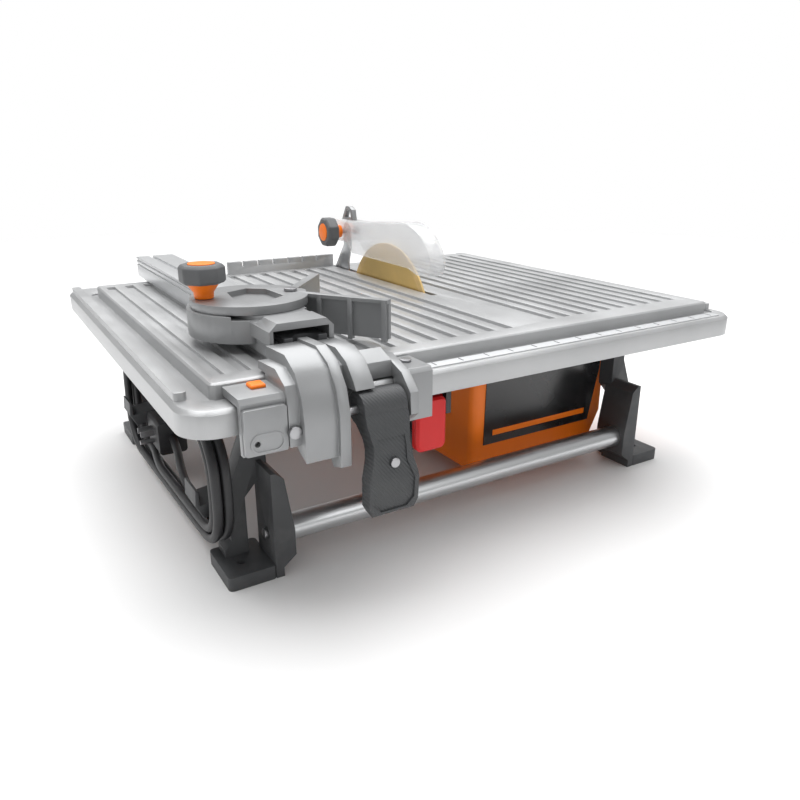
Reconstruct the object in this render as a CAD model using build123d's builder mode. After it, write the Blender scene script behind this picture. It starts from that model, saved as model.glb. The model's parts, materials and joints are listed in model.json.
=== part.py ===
from build123d import *

import os
from math import cos, radians, sin, tan

# Table-top wet tile cutter. Millimetres, +Z up. The origin is on the bench, at the middle of the
# four foot holes. +X is the user's right and +Y runs from the user to the back, the way tiles are fed.

# ---- Driving dimensions -------------------------------------------------------------------------
TABLE_W, TABLE_D, TABLE_R = 560.0, 496.0, 25.0
SKIRT_BOTTOM, SKIRT_TOP, RIM_TOP, DECK_TOP = 151.0, 167.0, 170.0, 180.0
SKIRT_T, RIM_SKIN, DECK_SKIN = 4.0, 3.5, 4.0
FRONT = -TABLE_D / 2
BACK = TABLE_D / 2

DECK_LEFT, DECK_RIGHT = -254.0, 264.0
DECK_FRONT, DECK_BACK = FRONT + 26.0, FRONT + 446.0

BLADE_D, BLADE_T, BLADE_X = 178.0, 2.2, 45.0
ARBOR_Y, ARBOR_Z = FRONT + 298.0, 135.0
ARBOR_D = 15.88
SLOT_W, SLOT_FRONT, SLOT_BACK = 7.0, FRONT + 201.0, FRONT + 436.0

FOOT_HOLE_D, FOOT_HOLE_X, FOOT_HOLE_Y = 7.0, 229.0, 178.0
FOOT_T = 12.0
TUBE_D, TUBE_T, TUBE_Z = 22.2, 1.6, 34.0
TUBE_Y = 182.0
LEG_FRONT, LEG_BACK = FRONT + 82.0, FRONT + 100.0
FOOT_FRONT, FOOT_BACK = FRONT + 50.0, FRONT + 102.0
FIN_OUT, FIN_IN = 207.0, 189.0
BRACE_LOW, BRACE_TOP, BRACE_TOP_Y = 42.0, 96.0, FRONT + 78.0
RAIL_IN, RAIL_OUT, RAIL_Z = 209.0, 223.0, 137.0

HOUSING_LEFT, HOUSING_RIGHT = 26.0, 205.0
HOUSING_FRONT, HOUSING_BACK = FRONT + 103.0, FRONT + 392.0
HOUSING_BOTTOM, HOUSING_TOP, HOUSING_WALL = 17.0, DECK_TOP - DECK_SKIN, 3.0
MOTOR_R = 33.0

BAR_LEFT, BAR_RIGHT, BAR_BOTTOM, BAR_TOP = -200.0, -157.0, 182.0, 205.0
BAR_FRONT, BAR_BACK = FRONT + 42.0, FRONT + 478.0
PIVOT_X, PIVOT_Y = -150.0, FRONT + 128.0
KNOB_X, KNOB_Y = -221.0, FRONT + 134.0

LEVER_LEFT, LEVER_RIGHT = -168.0, -128.0
LEVER_PIVOT_Y, LEVER_PIVOT_Z = FRONT - 14.5, 158.0
LEVER_SCREW_X, LEVER_SCREW_Y, LEVER_SCREW_Z, LEVER_SCREW_R = -147.0, FRONT - 34.5, 122.0, 3.6

GUARD_PIVOT_Y, GUARD_PIVOT_Z = FRONT + 399.0, 229.0

CORD_D = 8.0
COIL_X, COIL_W = -243.0, 17.0
SCREW_D = 5.0


def save(piece, name):
    """Label a finished piece and write it as its own STEP file."""
    piece.part.label = name
    export_step(piece.part, f"parts/{name}.step")


def in_front_plane(y):
    """A sketch plane facing the user: sketch x is X, sketch y is Z, and extrusion runs towards the user."""
    return Plane(origin=(0, y, 0), x_dir=(1, 0, 0), z_dir=(0, -1, 0))


def in_side_plane(x):
    """A sketch plane across X: sketch x is Y, sketch y is Z, and extrusion runs towards +X."""
    return Plane(origin=(x, 0, 0), x_dir=(0, 1, 0), z_dir=(1, 0, 0))


# ---- Table --------------------------------------------------------------------------------------
LEFT_PITCH, RIGHT_PITCH, GROOVE_DEPTH = 20.0, 18.4, 2.7
BAND_LEFT, BAND_RIGHT = 22.0, 68.0


def groove_places():
    """Middle X, width and front and back Y of every groove between the ribs of the deck."""
    grooves = []
    for i in range(14):
        grooves.append((BAND_LEFT - 4.0 - i * LEFT_PITCH, 9.0, FRONT + 44.0, FRONT + 428.0))
    for i in range(10):
        grooves.append((BAND_RIGHT + 8.0 + i * RIGHT_PITCH, 8.0, FRONT + 52.0, FRONT + 428.0))
    return grooves


def make_table_top():
    """The cast table: skirt, gutter, raised side beads and the ribbed deck with its blade slot."""
    deck_w, deck_d = DECK_RIGHT - DECK_LEFT, DECK_BACK - DECK_FRONT
    deck_x, deck_y = (DECK_LEFT + DECK_RIGHT) / 2, (DECK_FRONT + DECK_BACK) / 2
    bead_w, bead_h, bead_y = 9.0, 6.0, FRONT + 252.0
    bead_d = 442.0
    gutter_w, gutter_depth = 6.0, 1.6
    stop_left, stop_right, stop_h, stop_t = -101.0, 42.0, 15.0, 7.0
    boss_r = 6.5
    well_left, well_right = DECK_LEFT + SKIRT_T, DECK_RIGHT - SKIRT_T
    with BuildPart() as table_top:
        with BuildSketch(Plane.XY.offset(SKIRT_BOTTOM)):
            RectangleRounded(TABLE_W, TABLE_D, TABLE_R)
        extrude(amount=RIM_TOP - SKIRT_BOTTOM)
        chamfer(table_top.edges().group_by(Axis.Z)[-1], length=RIM_TOP - SKIRT_TOP)
        with BuildSketch(Plane.XY.offset(RIM_TOP - gutter_depth)):
            with Locations((deck_x, deck_y)):
                RectangleRounded(deck_w + 2 * gutter_w, deck_d + 2 * gutter_w, 8.0)
        extrude(amount=gutter_depth, mode=Mode.SUBTRACT)
        with BuildSketch(Plane.XY.offset(RIM_TOP - gutter_depth)):
            with Locations((deck_x, deck_y)):
                RectangleRounded(deck_w, deck_d, 5.0)
        extrude(amount=DECK_TOP - RIM_TOP + gutter_depth)
        chamfer(table_top.faces().sort_by(Axis.Z)[-1].edges(), length=1.5)
        for side in (-1, 1):
            with BuildSketch(Plane.XY.offset(RIM_TOP)):
                with Locations((side * (TABLE_W / 2 - 7.8), bead_y)):
                    RectangleRounded(bead_w, bead_d, 3.5)
            extrude(amount=bead_h)
        with BuildSketch(Plane.XY.offset(SKIRT_BOTTOM)):
            RectangleRounded(TABLE_W - 2 * SKIRT_T, TABLE_D - 2 * SKIRT_T, TABLE_R - SKIRT_T)
        extrude(amount=RIM_TOP - gutter_depth - RIM_SKIN - SKIRT_BOTTOM, mode=Mode.SUBTRACT)
        with BuildSketch(Plane.XY.offset(SKIRT_BOTTOM)):
            with Locations(((well_left + well_right) / 2, deck_y)):
                Rectangle(well_right - well_left, deck_d - 2 * SKIRT_T)
        extrude(amount=HOUSING_TOP - SKIRT_BOTTOM, mode=Mode.SUBTRACT)
        with BuildSketch(Plane.XY.offset(DECK_TOP - GROOVE_DEPTH)):
            for x, width, front, back in groove_places():
                with Locations((x, (front + back) / 2)):
                    Rectangle(width, back - front)
        extrude(amount=GROOVE_DEPTH, mode=Mode.SUBTRACT)
        with BuildSketch(Plane.XY.offset(HOUSING_TOP)):
            with Locations((BLADE_X, (SLOT_FRONT + SLOT_BACK) / 2)):
                Rectangle(SLOT_W, SLOT_BACK - SLOT_FRONT)
        extrude(amount=DECK_TOP - HOUSING_TOP, mode=Mode.SUBTRACT)
        with BuildSketch(Plane.XY.offset(DECK_TOP)):
            with Locations(((stop_left + stop_right) / 2, DECK_BACK - 2.5 - stop_t / 2)):
                Rectangle(stop_right - stop_left, stop_t)
        extrude(amount=stop_h)
        with BuildSketch(Plane.XY.offset(DECK_TOP + stop_h - 6.0)):
            for i in range(6):
                with Locations((stop_left + 19.0 + i * LEFT_PITCH, DECK_BACK - 2.5 - stop_t / 2)):
                    Rectangle(3.0, stop_t)
        extrude(amount=6.0, mode=Mode.SUBTRACT)
        with BuildSketch(Plane.XY.offset(SKIRT_BOTTOM)):
            with Locations(*frame_screw_places()):
                Circle(boss_r)
        extrude(amount=HOUSING_TOP - SKIRT_BOTTOM)
        with BuildSketch(Plane.XY.offset(SKIRT_BOTTOM)):
            with Locations(*frame_screw_places()):
                Circle(SCREW_D / 2 - 0.5)
        extrude(amount=HOUSING_TOP - SKIRT_BOTTOM - 4.0, mode=Mode.SUBTRACT)
    save(table_top, "table_top")


def frame_screw_places():
    """Where a screw goes up through each side rail into the table."""
    rail_mid = (RAIL_IN + RAIL_OUT) / 2
    return [(sx * rail_mid, sy * 90.0) for sx in (-1, 1) for sy in (-1, 1)]


def make_front_scale():
    """The ruler strip let onto the front rim, with raised inch marks."""
    strip_x0, strip_x1, strip_t = -118.0, 258.0, 0.8
    inch = 25.4
    with BuildPart() as front_scale:
        with BuildSketch(Plane.XY.offset(RIM_TOP)):
            with Locations(((strip_x0 + strip_x1) / 2, FRONT + 12.0)):
                RectangleRounded(strip_x1 - strip_x0, 11.0, 1.0)
        extrude(amount=strip_t)
        with BuildSketch(Plane.XY.offset(RIM_TOP + strip_t)):
            for i in range(-6, 9):
                with Locations((BLADE_X + i * inch, FRONT + 13.0)):
                    Rectangle(0.8, 7.0)
        extrude(amount=0.2)
    save(front_scale, "front_scale")


# ---- Legs, feet and tubes -----------------------------------------------------------------------
def make_side_frame(side, name):
    """One cast side frame: two splayed legs with fins and bolt-down feet, joined by a top rail."""
    column = [(-238, FOOT_T), (-218, FOOT_T), (-218, 62), (-198, 84), (-198, RAIL_Z), (-RAIL_IN, RAIL_Z),
              (-RAIL_IN, SKIRT_BOTTOM), (-RAIL_OUT, SKIRT_BOTTOM), (-RAIL_OUT, RAIL_Z), (-214, RAIL_Z),
              (-214, 112), (-226, 82), (-232, 76), (-232, 26), (-238, 18)]
    fin = [(-FIN_OUT, 0), (-200, 0), (-200, 8), (-FIN_IN, 17), (-FIN_IN, TUBE_Z + 6), (-196, 86),
           (-203, 92), (-FIN_OUT, 92)]
    rail_length = 2 * abs(LEG_FRONT)
    with BuildPart() as frame:
        for end in (-1, 1):
            with BuildSketch(Plane.XY):
                with Locations((-226, end * (FOOT_FRONT + FOOT_BACK) / -2)):
                    RectangleRounded(40, FOOT_BACK - FOOT_FRONT, 4)
            extrude(amount=FOOT_T)
            with BuildSketch(in_front_plane(0).offset(end * -LEG_BACK)):
                with BuildLine():
                    Polyline(*column, close=True)
                make_face()
            extrude(amount=end * (LEG_BACK - LEG_FRONT))
            with BuildSketch(in_front_plane(0).offset(end * -(LEG_FRONT + 6.0))):
                with BuildLine():
                    Polyline(*fin, close=True)
                make_face()
            extrude(amount=end * (LEG_FRONT + 6.0 - FOOT_FRONT))
            with BuildSketch(in_side_plane(-FIN_OUT - 1.0)):
                with BuildLine():
                    Polyline((end * -FOOT_FRONT, BRACE_LOW), (end * -BRACE_TOP_Y, BRACE_TOP),
                             (end * -FOOT_FRONT, BRACE_TOP), close=True)
                make_face()
            extrude(amount=FIN_OUT - FIN_IN + 2.0, mode=Mode.SUBTRACT)
        with Locations((-(RAIL_IN + RAIL_OUT) / 2, 0, (RAIL_Z + SKIRT_BOTTOM) / 2)):
            Box(RAIL_OUT - RAIL_IN, rail_length, SKIRT_BOTTOM - RAIL_Z)
        for x, y in frame_screw_places()[:2]:
            with Locations((x, y, SKIRT_BOTTOM)):
                Hole(radius=SCREW_D / 2 + 0.1, depth=SKIRT_BOTTOM - RAIL_Z)
        for end in (-1, 1):
            with Locations((-FOOT_HOLE_X, end * FOOT_HOLE_Y, FOOT_T)):
                Hole(radius=FOOT_HOLE_D / 2, depth=FOOT_T)
            with BuildSketch(in_side_plane(-FIN_OUT)):
                with Locations((end * TUBE_Y, TUBE_Z)):
                    Circle(SCREW_D / 2 + 0.1)
            extrude(amount=FIN_OUT - FIN_IN, mode=Mode.SUBTRACT)
        if side > 0:
            mirror(about=Plane.YZ, mode=Mode.REPLACE)
    save(frame, name)


def make_tube(y, name):
    """A steel spreader tube between the fins of the two side frames."""
    half = FIN_IN
    with BuildPart() as tube:
        with BuildSketch(in_side_plane(-half)):
            with Locations((y, TUBE_Z)):
                Circle(TUBE_D / 2)
                Circle(TUBE_D / 2 - TUBE_T, mode=Mode.SUBTRACT)
        extrude(amount=2 * half)
    save(tube, name)


def make_tube_bolts():
    """Bolts through the fins into the ends of both tubes."""
    head_d, head_t, reach = 9.0, 3.0, 24.0
    with BuildPart() as tube_bolts:
        for side in (-1, 1):
            for y in (-TUBE_Y, TUBE_Y):
                with BuildSketch(in_side_plane(side * (FIN_OUT + head_t))):
                    with Locations((y, TUBE_Z)):
                        Circle(head_d / 2)
                extrude(amount=-side * head_t)
                with BuildSketch(in_side_plane(side * FIN_OUT)):
                    with Locations((y, TUBE_Z)):
                        Circle(SCREW_D / 2)
                extrude(amount=-side * reach)
    save(tube_bolts, "tube_bolts")


def make_tube_plugs():
    """Threaded plugs pressed into the tube ends, which the bolts screw into."""
    plug_l = 14.0
    with BuildPart() as tube_plugs:
        for side in (-1, 1):
            for y in (-TUBE_Y, TUBE_Y):
                with BuildSketch(in_side_plane(side * FIN_IN)):
                    with Locations((y, TUBE_Z)):
                        Circle(TUBE_D / 2 - TUBE_T)
                        Circle(SCREW_D / 2, mode=Mode.SUBTRACT)
                extrude(amount=-side * plug_l)
    save(tube_plugs, "tube_plugs")


def make_frame_screws():
    """Screws that hold the side rails to the table and the cord hooks to the rail and leg."""
    head_d, head_t, length = 9.0, 2.6, 28.0
    with BuildPart() as frame_screws:
        for x, y in frame_screw_places():
            with BuildSketch(Plane.XY.offset(RAIL_Z)):
                with Locations((x, y)):
                    Circle(head_d / 2)
            extrude(amount=-head_t)
            with BuildSketch(Plane.XY.offset(RAIL_Z)):
                with Locations((x, y)):
                    Circle(SCREW_D / 2 - 0.6)
            extrude(amount=length)
    save(frame_screws, "frame_screws")


# ---- Cord hooks and cord ------------------------------------------------------------------------
HOOK_TIP, HOOK_Z, HOOK_LIP_Z = -257.0, 50.0, 76.0
FRONT_HOOK_Y, REAR_HOOK_Y = FRONT + 101.0, FRONT + 338.0


def make_cord_hook(y, root, arm, name):
    """A hooked bracket with an upturned lip. arm carries it down from the side rail."""
    width, lip_t = 30.0, 4.0
    outline = [(root, HOOK_Z + 4), (root, HOOK_Z + 15), (HOOK_TIP + lip_t, HOOK_Z + 12),
               (HOOK_TIP + lip_t, HOOK_LIP_Z - 2), (HOOK_TIP + 1, HOOK_LIP_Z), (HOOK_TIP, HOOK_Z + 12),
               (HOOK_TIP + 6, HOOK_Z)]
    with BuildPart() as hook:
        with BuildSketch(in_front_plane(y + width / 2)):
            with BuildLine():
                Polyline(*outline, close=True)
            make_face()
        extrude(amount=width)
        if arm:
            with Locations((root + 2.5, y, (HOOK_Z + SKIRT_BOTTOM) / 2)):
                Box(5.0, width, SKIRT_BOTTOM - HOOK_Z)
            with Locations(((root - RAIL_OUT) / 2, y, SKIRT_BOTTOM - 2.0)):
                Box(abs(root + RAIL_OUT), width, 4.0)
    save(hook, name)


LOOP_FRONT, LOOP_REAR = FRONT + 54.0, FRONT + 379.0
LOOP_TOP, LOOP_LOW_FRONT, LOOP_LOW_REAR, LOOP_R = 136.0, 27.0, 10.0, 46.0


def make_cord_coil():
    """The outer shape of the cord's four turns, wound in a long loop round both hooks."""
    def loop(inset):
        with BuildLine() as line:
            corners = [(LOOP_FRONT + inset, LOOP_TOP - inset), (LOOP_FRONT + inset, LOOP_LOW_FRONT + inset),
                       (LOOP_REAR - inset, LOOP_LOW_REAR + inset), (LOOP_REAR - inset, LOOP_TOP - inset)]
            FilletPolyline(*corners, radius=LOOP_R - inset, close=True)
        return line
    with BuildPart() as cord_coil:
        with BuildSketch(in_side_plane(COIL_X - COIL_W / 2)):
            add(loop(0.0).line)
            make_face()
            add(make_face(loop(COIL_W).line.edges(), mode=Mode.PRIVATE), mode=Mode.SUBTRACT)
        extrude(amount=COIL_W)
    save(cord_coil, "cord_coil")


def cord_tube(points, name):
    """A plain tube of the cord's diameter along straight runs joined by tangent arcs."""
    corners = [Vector(*p) for p in points]
    radii = []
    for a, b, c in zip(corners, corners[1:], corners[2:]):
        turn = radians((b - a).get_angle(c - b))
        radii.append(0.45 * min((b - a).length, (c - b).length) / tan(turn / 2))
    print(name, "radii", [round(r) for r in radii])
    with BuildPart() as tube:
        with BuildLine() as path:
            FilletPolyline(*corners, radius=radii)
        with BuildSketch(Plane(origin=path.line @ 0, z_dir=path.line % 0)):
            Circle(CORD_D / 2)
        sweep()
    length = sum(edge.length for edge in path.edges())
    section = 3.14159 * CORD_D ** 2 / 4
    print(name, "length", round(length), "volume ratio", round(tube.part.volume / (length * section), 4))
    save(tube, name)


GLAND_Y, GLAND_Z = FRONT + 252.0, 128.0
LEAD_ROUTE = [(HOUSING_LEFT - 30.0, GLAND_Y, GLAND_Z), (-52.0, GLAND_Y, GLAND_Z),
              (-104.0, GLAND_Y - 3.0, GLAND_Z - 9.0), (-158.0, GLAND_Y - 5.0, GLAND_Z - 8.0),
              (-206.0, GLAND_Y - 20.0, GLAND_Z - 3.0), (-236.0, GLAND_Y - 54.0, GLAND_Z),
              (COIL_X, GLAND_Y - 96.0, GLAND_Z)]
PLUG_X, PLUG_Y, PLUG_Z = -228.0, FRONT + 290.0, 50.0
PLUG_W, PLUG_L, PLUG_H = 28.0, 44.0, 34.0
TAIL_ROUTE = [(COIL_X, FRONT + 150.0, 33.0), (-241.5, FRONT + 182.0, 36.0),
              (-236.0, FRONT + 214.0, 41.5), (-230.5, FRONT + 243.0, 48.5),
              (PLUG_X, PLUG_Y - PLUG_L / 2, PLUG_Z)]


def make_cord_gland():
    """The tapered strain relief where the cord leaves the housing."""
    with BuildPart() as cord_gland:
        with BuildSketch(in_side_plane(HOUSING_LEFT)):
            with Locations((GLAND_Y, GLAND_Z)):
                Circle(9.0)
        with BuildSketch(in_side_plane(HOUSING_LEFT - 30.0)):
            with Locations((GLAND_Y, GLAND_Z)):
                Circle(CORD_D / 2 + 1.0)
        loft()
    save(cord_gland, "cord_gland")


def make_cord_plug():
    """The plug block with its protective switch, and its three blades as a separate node."""
    with BuildPart() as cord_plug:
        with Locations((PLUG_X, PLUG_Y, PLUG_Z)):
            Box(PLUG_W, PLUG_L, PLUG_H)
        fillet(cord_plug.edges().filter_by(Axis.Y), radius=4.0)
    save(cord_plug, "cord_plug")
    with BuildPart() as plug_blades:
        with BuildSketch(in_side_plane(PLUG_X - PLUG_W / 2)):
            with Locations((PLUG_Y - 6.3, PLUG_Z + 4), (PLUG_Y + 6.3, PLUG_Z + 4)):
                Rectangle(1.6, 6.4)
            with Locations((PLUG_Y, PLUG_Z - 7)):
                Circle(2.4)
        extrude(amount=-14.0)
    save(plug_blades, "plug_blades")


# ---- Blade housing, motor and blade -------------------------------------------------------------
SPLASH_X, SPLASH_T = 62.0, 3.0
MOTOR_X0, MOTOR_X1 = 68.0, 172.0
SHAFT_D, BEARING_D, BEARING_W = 10.0, 26.0, 8.0


def tub_outline(inset, top):
    """The housing's section across Y, drawn inset by the wall's thickness."""
    return [(HOUSING_LEFT + inset, HOUSING_BOTTOM + inset),
            (HOUSING_RIGHT - 16 - inset / 2, HOUSING_BOTTOM + inset),
            (HOUSING_RIGHT - inset, HOUSING_BOTTOM + 33), (HOUSING_RIGHT - inset, top),
            (HOUSING_LEFT + inset, top)]


def make_blade_housing():
    """The open-topped tub under the table: it holds the water round the blade and carries the motor."""
    depth = HOUSING_BACK - HOUSING_FRONT
    corner_r = 8.0
    with BuildPart() as blade_housing:
        with BuildSketch(in_front_plane(HOUSING_BACK)):
            with BuildLine():
                Polyline(*tub_outline(0, HOUSING_TOP), close=True)
            make_face()
        extrude(amount=depth)
        fillet(blade_housing.edges().filter_by(Axis.Z).group_by(Axis.X)[0], radius=corner_r)
        with BuildSketch(in_front_plane(HOUSING_BACK - HOUSING_WALL)):
            with BuildLine():
                Polyline(*tub_outline(HOUSING_WALL, HOUSING_TOP), close=True)
            make_face()
        extrude(amount=depth - 2 * HOUSING_WALL, mode=Mode.SUBTRACT)
        with BuildSketch(in_front_plane(HOUSING_BACK)):
            with Locations((SPLASH_X - 18.0, HOUSING_BOTTOM + 16.0)):
                Circle(DRAIN_R)
        extrude(amount=HOUSING_WALL, mode=Mode.SUBTRACT)
    save(blade_housing, "blade_housing")


DRAIN_R = 9.0


def make_drain_plug():
    """The plug pulled out of the back wall to let the water out."""
    with BuildPart() as drain_plug:
        with BuildSketch(in_front_plane(HOUSING_BACK)):
            with Locations((SPLASH_X - 18.0, HOUSING_BOTTOM + 16.0)):
                Circle(DRAIN_R - 0.05)
        extrude(amount=HOUSING_WALL + 2.0)
        with BuildSketch(in_front_plane(HOUSING_BACK + 0.3)):
            with Locations((SPLASH_X - 18.0, HOUSING_BOTTOM + 16.0)):
                Circle(DRAIN_R + 3.0)
        extrude(amount=-4.0)
        with BuildSketch(in_front_plane(HOUSING_BACK + 4.3)):
            with Locations((SPLASH_X - 18.0, HOUSING_BOTTOM + 16.0)):
                RectangleRounded(14.0, 4.0, 1.5)
        extrude(amount=-8.0)
        with BuildSketch(in_front_plane(HOUSING_BACK + 0.3)):
            with Locations((SPLASH_X - 18.0, HOUSING_BOTTOM + 16.0)):
                Circle(DRAIN_R - 0.05)
        extrude(amount=0.3)
    save(drain_plug, "drain_plug")


def make_splash_wall():
    """The wall that keeps the water away from the motor."""
    depth = HOUSING_BACK - HOUSING_FRONT - 2 * HOUSING_WALL
    with BuildPart() as splash_wall:
        with BuildSketch(in_side_plane(SPLASH_X)):
            with Locations(((HOUSING_FRONT + HOUSING_BACK) / 2,
                            (HOUSING_BOTTOM + HOUSING_WALL + HOUSING_TOP) / 2)):
                Rectangle(depth, HOUSING_TOP - HOUSING_BOTTOM - HOUSING_WALL)
            with Locations((ARBOR_Y, ARBOR_Z)):
                Circle(SHAFT_D / 2 + 3.0, mode=Mode.SUBTRACT)
        extrude(amount=SPLASH_T)
    save(splash_wall, "splash_wall")


def make_label_plate():
    """The plain label panel on the front of the housing, with one raised stripe."""
    with BuildPart() as label_plate:
        with BuildSketch(in_front_plane(HOUSING_FRONT)):
            with BuildLine():
                Polyline((41, 42), (187, 42), (199, 100), (199, 150), (43, 150), close=True)
            make_face()
        extrude(amount=1.0)
    save(label_plate, "label_plate")
    with BuildPart() as label_stripe:
        with BuildSketch(in_front_plane(HOUSING_FRONT - 1.0)):
            with Locations((116, 54)):
                Rectangle(128, 6)
        extrude(amount=0.4)
    save(label_stripe, "label_stripe")


def make_motor():
    """The motor can, its stator and the two bearings that carry the arbor."""
    with BuildPart() as motor_can:
        with BuildSketch(in_side_plane(MOTOR_X0)):
            with Locations((ARBOR_Y, ARBOR_Z)):
                Circle(MOTOR_R)
        extrude(amount=MOTOR_X1 - MOTOR_X0)
        with BuildSketch(in_side_plane(MOTOR_X0 + 3.0)):
            with Locations((ARBOR_Y, ARBOR_Z)):
                Circle(MOTOR_R - 2.0)
        extrude(amount=MOTOR_X1 - MOTOR_X0 - 6.0, mode=Mode.SUBTRACT)
        for x, length in ((MOTOR_X0, BEARING_W + 2), (MOTOR_X1 - BEARING_W - 2, BEARING_W + 2)):
            with BuildSketch(in_side_plane(x)):
                with Locations((ARBOR_Y, ARBOR_Z)):
                    Circle(BEARING_D / 2 + 3.0)
            extrude(amount=length)
            with BuildSketch(in_side_plane(x)):
                with Locations((ARBOR_Y, ARBOR_Z)):
                    Circle(BEARING_D / 2)
            extrude(amount=length, mode=Mode.SUBTRACT)
        with Locations(*[(SPLASH_X + SPLASH_T + 1.5, ARBOR_Y, ARBOR_Z + step) for step in (18, -18)]):
            Box(3.0, 30.0, 10.0)
    save(motor_can, "motor_can")
    with BuildPart() as motor_stator:
        with BuildSketch(in_side_plane(MOTOR_X0 + 30.0)):
            with Locations((ARBOR_Y, ARBOR_Z)):
                Circle(MOTOR_R - 2.0)
                Circle(19.0, mode=Mode.SUBTRACT)
        extrude(amount=44.0)
    save(motor_stator, "motor_stator")
    with BuildPart() as arbor_bearings:
        for x in (MOTOR_X0, MOTOR_X1 - BEARING_W):
            with BuildSketch(in_side_plane(x)):
                with Locations((ARBOR_Y, ARBOR_Z)):
                    Circle(BEARING_D / 2)
                    Circle(SHAFT_D / 2 + 0.05, mode=Mode.SUBTRACT)
            extrude(amount=BEARING_W)
    save(arbor_bearings, "arbor_bearings")


def disc(x, length, outer, inner, name):
    """A plain disc or ring on the arbor's axis, from x towards +X."""
    with BuildPart() as ring:
        with BuildSketch(in_side_plane(x)):
            with Locations((ARBOR_Y, ARBOR_Z)):
                Circle(outer)
                if inner:
                    Circle(inner, mode=Mode.SUBTRACT)
        extrude(amount=length)
    save(ring, name)


def make_arbor():
    """The spinning set: shaft, rotor, flanges, nut and the continuous-rim blade."""
    flange_r, flange_t, nut_t = 21.0, 4.0, 7.0
    blade_left = BLADE_X - BLADE_T / 2
    with BuildPart() as arbor_shaft:
        with BuildSketch(in_side_plane(blade_left - flange_t - nut_t - 2.0)):
            with Locations((ARBOR_Y, ARBOR_Z)):
                Circle(SHAFT_D / 2)
        extrude(amount=MOTOR_X1 - (blade_left - flange_t - nut_t - 2.0) - 1.0)
        with BuildSketch(in_side_plane(blade_left - flange_t)):
            with Locations((ARBOR_Y, ARBOR_Z)):
                Circle(ARBOR_D / 2)
        extrude(amount=2 * flange_t + BLADE_T)
    save(arbor_shaft, "arbor_shaft")
    disc(MOTOR_X0 + 28.0, 48.0, 18.3, SHAFT_D / 2, "motor_rotor")
    with BuildPart() as blade_flanges:
        for x in (blade_left - flange_t, blade_left + BLADE_T):
            with BuildSketch(in_side_plane(x)):
                with Locations((ARBOR_Y, ARBOR_Z)):
                    Circle(flange_r)
                    Circle(ARBOR_D / 2, mode=Mode.SUBTRACT)
            extrude(amount=flange_t)
    save(blade_flanges, "blade_flanges")
    with BuildPart() as arbor_nut:
        with BuildSketch(in_side_plane(blade_left - flange_t - nut_t)):
            with Locations((ARBOR_Y, ARBOR_Z)):
                RegularPolygon(11.0, 6)
                Circle(SHAFT_D / 2, mode=Mode.SUBTRACT)
        extrude(amount=nut_t)
    save(arbor_nut, "arbor_nut")
    rim_inner = BLADE_D / 2 - 8.0
    disc(BLADE_X - BLADE_T / 2, BLADE_T, rim_inner, ARBOR_D / 2, "blade_core")
    disc(BLADE_X - BLADE_T / 2, BLADE_T, BLADE_D / 2, rim_inner, "blade_rim")


# ---- Riving knife, guard and guard knob ---------------------------------------------------------
KNIFE_T, GUARD_W, GUARD_T = 1.8, 20.0, 2.0
PIN_D, PIN_REACH = 6.0, 15.0


def make_riving_knife():
    """The knife behind the blade, on its block under the deck."""
    top_r = 10.0
    foot_y0, foot_y1 = FRONT + 396.0, FRONT + 433.0
    block_z0 = HOUSING_TOP - 24.0
    with BuildPart() as riving_knife:
        with BuildSketch(in_side_plane(BLADE_X - KNIFE_T / 2)):
            with BuildLine():
                Polyline((foot_y0, block_z0), (foot_y1, block_z0), (foot_y1, DECK_TOP + 2),
                         (GUARD_PIVOT_Y + top_r, GUARD_PIVOT_Z - 18), (GUARD_PIVOT_Y + top_r, GUARD_PIVOT_Z),
                         (GUARD_PIVOT_Y - top_r, GUARD_PIVOT_Z), (GUARD_PIVOT_Y - top_r, GUARD_PIVOT_Z - 16),
                         (foot_y0, DECK_TOP + 10), close=True)
            make_face()
            with Locations((GUARD_PIVOT_Y, GUARD_PIVOT_Z)):
                Circle(top_r)
                Circle(PIN_D / 2 + 0.05, mode=Mode.SUBTRACT)
        extrude(amount=KNIFE_T)
    save(riving_knife, "riving_knife")
    with BuildPart() as knife_block:
        with Locations((BLADE_X, (foot_y0 + foot_y1) / 2 + 1.0, HOUSING_TOP - 10.0)):
            Box(18.0, 30.0, 20.0)
            Box(KNIFE_T, 30.0, 20.0, mode=Mode.SUBTRACT)
    save(knife_block, "knife_block")


GUARD_LOW_Z, GUARD_NOSE = 204.0, (FRONT + 194.0, 214.0)
GUARD_CROWN, GUARD_SHOULDER = (FRONT + 262.0, 250.5), (FRONT + 345.0, 244.0)


def guard_profile(inset):
    """Corner and arc points of the guard's side, drawn inset by the sheet's thickness."""
    nose = (GUARD_NOSE[0] + inset, GUARD_NOSE[1])
    brow = (FRONT + 214.0 + 0.7 * inset, 239.5 - 0.7 * inset)
    crown = (GUARD_CROWN[0], GUARD_CROWN[1] - inset)
    shoulder = (GUARD_SHOULDER[0], GUARD_SHOULDER[1] - inset)
    return nose, brow, crown, shoulder


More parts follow.
